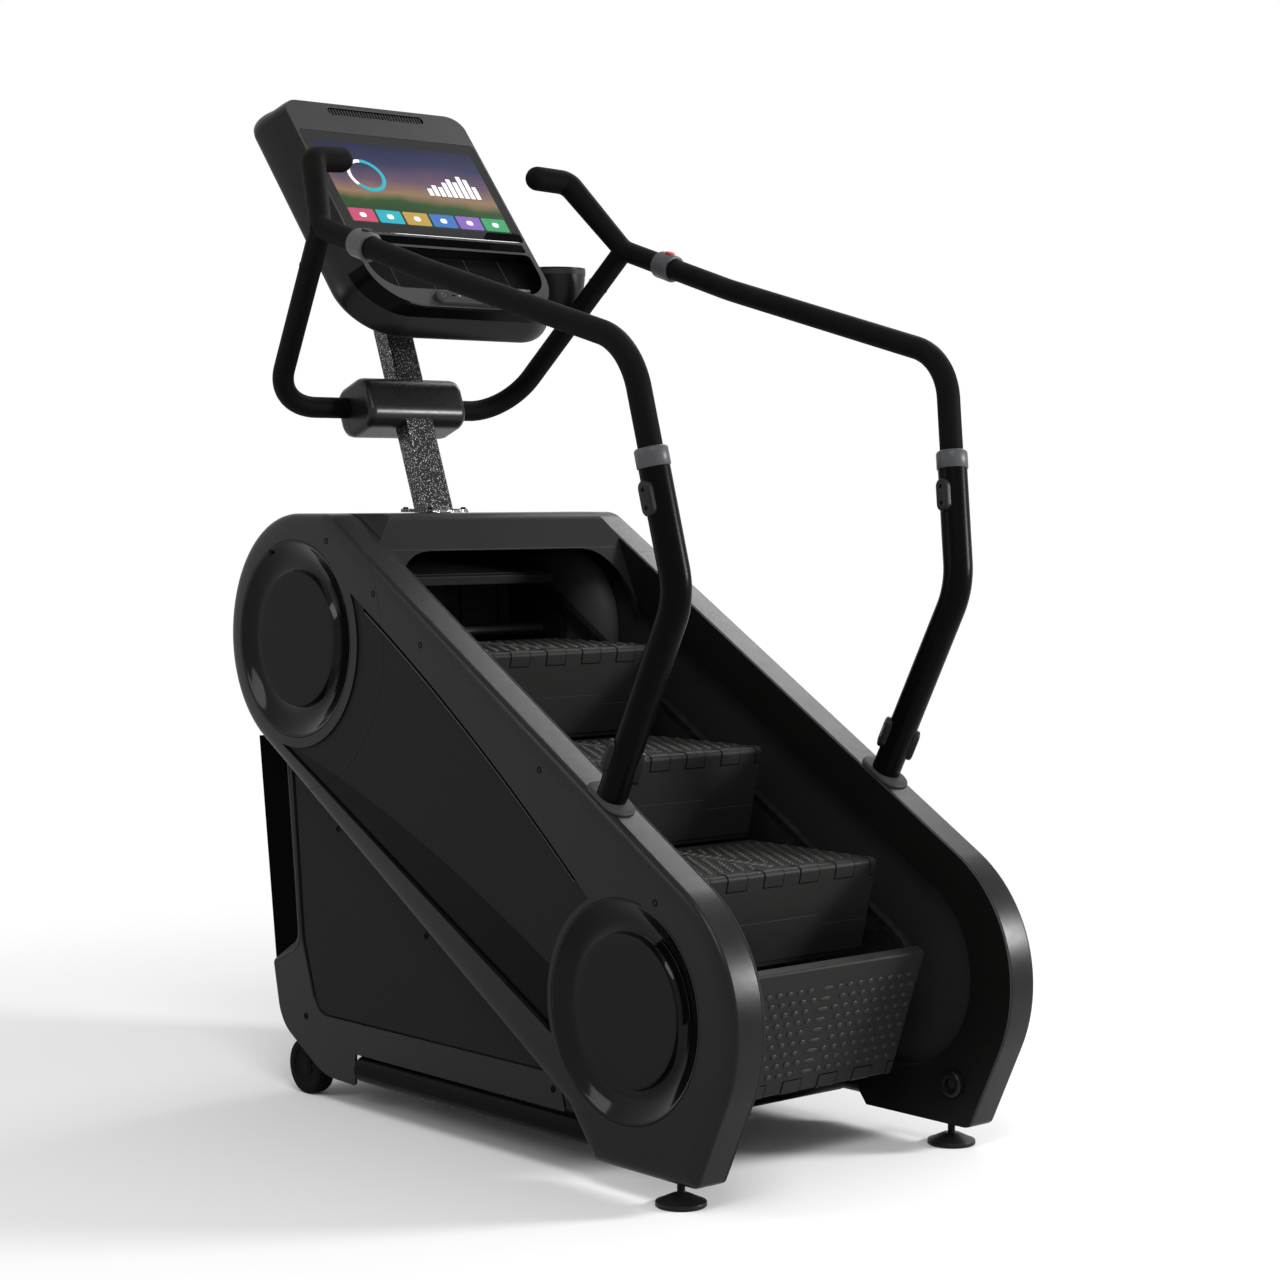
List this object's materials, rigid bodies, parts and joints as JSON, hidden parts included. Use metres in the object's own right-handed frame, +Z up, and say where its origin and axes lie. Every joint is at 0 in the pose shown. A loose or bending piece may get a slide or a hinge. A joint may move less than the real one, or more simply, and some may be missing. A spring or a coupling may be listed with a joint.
{
  "type": "stair climber",
  "caption": "Gym stair climber with a revolving flight of steps between two side shells, forked handrails, leaning mast and tilted screen console.",
  "frame": {"origin": "on the floor, at the centre of the outline seen from above", "axes": "+Z up, +Y the way the user faces while climbing, +X to the user's right"},
  "size_m": [0.905, 1.7796, 2.2314],
  "materials": {
    "black_paint": "gloss powder coat",
    "black_plastic": "moulded, satin",
    "charcoal_plastic": "moulded, fine grain",
    "console_grey": "moulded, satin",
    "dark_steel": "oiled",
    "drive_rubber": "moulded",
    "gloss_black": "moulded, polished",
    "green_plastic": "moulded, satin",
    "grey_plastic": "moulded, satin",
    "red_plastic": "moulded, satin",
    "rubber_grip": "matte soft grip",
    "screen_glass": "clear over a lit panel",
    "speckled_paint": "hammered speckled powder coat",
    "tread_plastic": "moulded, dull, raised pattern"
  },
  "bodies": {
    "frame": {"brake_body": "black_paint", "console_bezel": "console_grey", "console_housing": "black_plastic", "display_screen": "screen_glass", "drive_belt": "drive_rubber", "front_cross_tube": "black_paint", "keypad_panel": "black_plastic", "left_collar": "grey_plastic", "left_grip_ring": "grey_plastic", "left_handrail": "rubber_grip", "left_inner_skirt": "black_plastic", "left_leg_port": "charcoal_plastic", "left_lower_cover": "charcoal_plastic", "left_lower_disc_cover": "gloss_black", "left_lower_shell": "charcoal_plastic", "left_side_frame": "speckled_paint", "left_step_chain": "dark_steel", "left_upper_disc_cover": "gloss_black", "left_upper_shell": "charcoal_plastic", "left_upright": "black_paint", "mast": "speckled_paint", "mast_beam": "black_paint", "mast_clamp_cover": "black_plastic", "port_bar": "console_grey", "rear_cover": "gloss_black", "rear_cross_tube": "black_paint", "right_collar": "grey_plastic", "right_cup_holder": "black_plastic", "right_grip_ring": "grey_plastic", "right_handrail": "rubber_grip", "right_inner_skirt": "black_plastic", "right_leg_port": "charcoal_plastic", "right_lower_cover": "charcoal_plastic", "right_lower_disc_cover": "gloss_black", "right_lower_shell": "charcoal_plastic", "right_side_frame": "speckled_paint", "right_step_chain": "dark_steel", "right_upper_disc_cover": "gloss_black", "right_upper_shell": "charcoal_plastic", "right_upright": "black_paint", "top_hood": "charcoal_plastic"},
    "upper_shaft_body": {"upper_drive_shaft": "dark_steel"},
    "lower_shaft_body": {"lower_idler_shaft": "dark_steel"},
    "brake_rotor_body": {"brake_rotor": "dark_steel"},
    "step_1_body": {"step_1": "tread_plastic"},
    "step_2_body": {"step_2": "tread_plastic"},
    "step_3_body": {"step_3": "tread_plastic"},
    "step_return_1_body": {"step_return_1": "tread_plastic"},
    "step_return_2_body": {"step_return_2": "tread_plastic"},
    "step_return_3_body": {"step_return_3": "tread_plastic"},
    "step_turning_lower_body": {"step_turning_lower": "tread_plastic"},
    "step_turning_upper_body": {"step_turning_upper": "tread_plastic"},
    "left_wheel_body": {"left_transport_wheel": "drive_rubber"},
    "right_wheel_body": {"right_transport_wheel": "drive_rubber"},
    "left_foot_body": {"left_front_foot": "black_plastic"},
    "right_foot_body": {"right_front_foot": "black_plastic"},
    "left_pace_button_body": {"left_pace_button": "black_plastic"},
    "right_stop_button_body": {"right_stop_button": "red_plastic"},
    "start_button_body": {"start_button": "green_plastic"}
  },
  "joints": [
    {"name": "step_drive", "type": "hinge", "parent": "frame", "child": "upper_shaft_body", "pos_m": [0, 0.52831, 1.01388], "axis": [1, 0, 0], "range_deg": [0, 20]},
    {"name": "lower_shaft_turn", "type": "hinge", "parent": "frame", "child": "lower_shaft_body", "pos_m": [0, -0.581, 0.3535], "axis": [1, 0, 0], "range_deg": [0, 20]},
    {"name": "brake_turn", "type": "hinge", "parent": "frame", "child": "brake_rotor_body", "pos_m": [0, 0.42, 0.42], "axis": [1, 0, 0], "range_deg": [0, 73.4]},
    {"name": "step_1_descend", "type": "slide", "parent": "frame", "child": "step_1_body", "axis": [0, -0.8593, -0.5115], "range_m": [0, 0.033]},
    {"name": "step_2_descend", "type": "slide", "parent": "frame", "child": "step_2_body", "axis": [0, -0.8593, -0.5115], "range_m": [0, 0.033]},
    {"name": "step_3_descend", "type": "slide", "parent": "frame", "child": "step_3_body", "axis": [0, -0.8593, -0.5115], "range_m": [0, 0.033]},
    {"name": "step_return_1_climb", "type": "slide", "parent": "frame", "child": "step_return_1_body", "axis": [0, 0.8593, 0.5115], "range_m": [0, 0.033]},
    {"name": "step_return_2_climb", "type": "slide", "parent": "frame", "child": "step_return_2_body", "axis": [0, 0.8593, 0.5115], "range_m": [0, 0.033]},
    {"name": "step_return_3_climb", "type": "slide", "parent": "frame", "child": "step_return_3_body", "axis": [0, 0.8593, 0.5115], "range_m": [0, 0.033]},
    {"name": "step_turning_lower_swing", "type": "hinge", "parent": "frame", "child": "step_turning_lower_body", "pos_m": [0, -0.581, 0.3535], "axis": [1, 0, 0], "range_deg": [0, 20]},
    {"name": "step_turning_upper_swing", "type": "hinge", "parent": "frame", "child": "step_turning_upper_body", "pos_m": [0, 0.52831, 1.01388], "axis": [1, 0, 0], "range_deg": [0, 20]},
    {"name": "left_wheel_spin", "type": "hinge", "parent": "frame", "child": "left_wheel_body", "pos_m": [-0.337, 0.552, 0.062], "axis": [1, 0, 0], "continuous": true},
    {"name": "right_wheel_spin", "type": "hinge", "parent": "frame", "child": "right_wheel_body", "pos_m": [0.337, 0.552, 0.062], "axis": [1, 0, 0], "continuous": true},
    {"name": "left_foot_level", "type": "hinge", "parent": "frame", "child": "left_foot_body", "pos_m": [-0.371, -0.7, 0], "axis": [0, 0, 1], "continuous": true},
    {"name": "right_foot_level", "type": "hinge", "parent": "frame", "child": "right_foot_body", "pos_m": [0.371, -0.7, 0], "axis": [0, 0, 1], "continuous": true},
    {"name": "left_pace_button_press", "type": "slide", "parent": "frame", "child": "left_pace_button_body", "axis": [-0.0047, 0.2912, -0.9566], "range_m": [0, 0.002], "stiffness_N_per_m": 900},
    {"name": "right_stop_button_press", "type": "slide", "parent": "frame", "child": "right_stop_button_body", "axis": [0.0047, 0.2912, -0.9566], "range_m": [0, 0.002], "stiffness_N_per_m": 900},
    {"name": "start_button_press", "type": "slide", "parent": "frame", "child": "start_button_body", "axis": [0, 0.7716, -0.6361], "range_m": [0, 0.002], "stiffness_N_per_m": 900}
  ],
  "couplings": [
    {"joint": "lower_shaft_turn", "follows": "step_drive", "ratio": 1},
    {"joint": "brake_turn", "follows": "step_drive", "ratio": 3.6667},
    {"joint": "step_turning_lower_swing", "follows": "step_drive", "ratio": 1},
    {"joint": "step_turning_upper_swing", "follows": "step_drive", "ratio": 1},
    {"joint": "step_1_descend", "follows": "step_drive", "m_per_rad": 0.0943},
    {"joint": "step_2_descend", "follows": "step_drive", "m_per_rad": 0.0943},
    {"joint": "step_3_descend", "follows": "step_drive", "m_per_rad": 0.0943},
    {"joint": "step_return_1_climb", "follows": "step_drive", "m_per_rad": 0.0943},
    {"joint": "step_return_2_climb", "follows": "step_drive", "m_per_rad": 0.0943},
    {"joint": "step_return_3_climb", "follows": "step_drive", "m_per_rad": 0.0943}
  ]
}
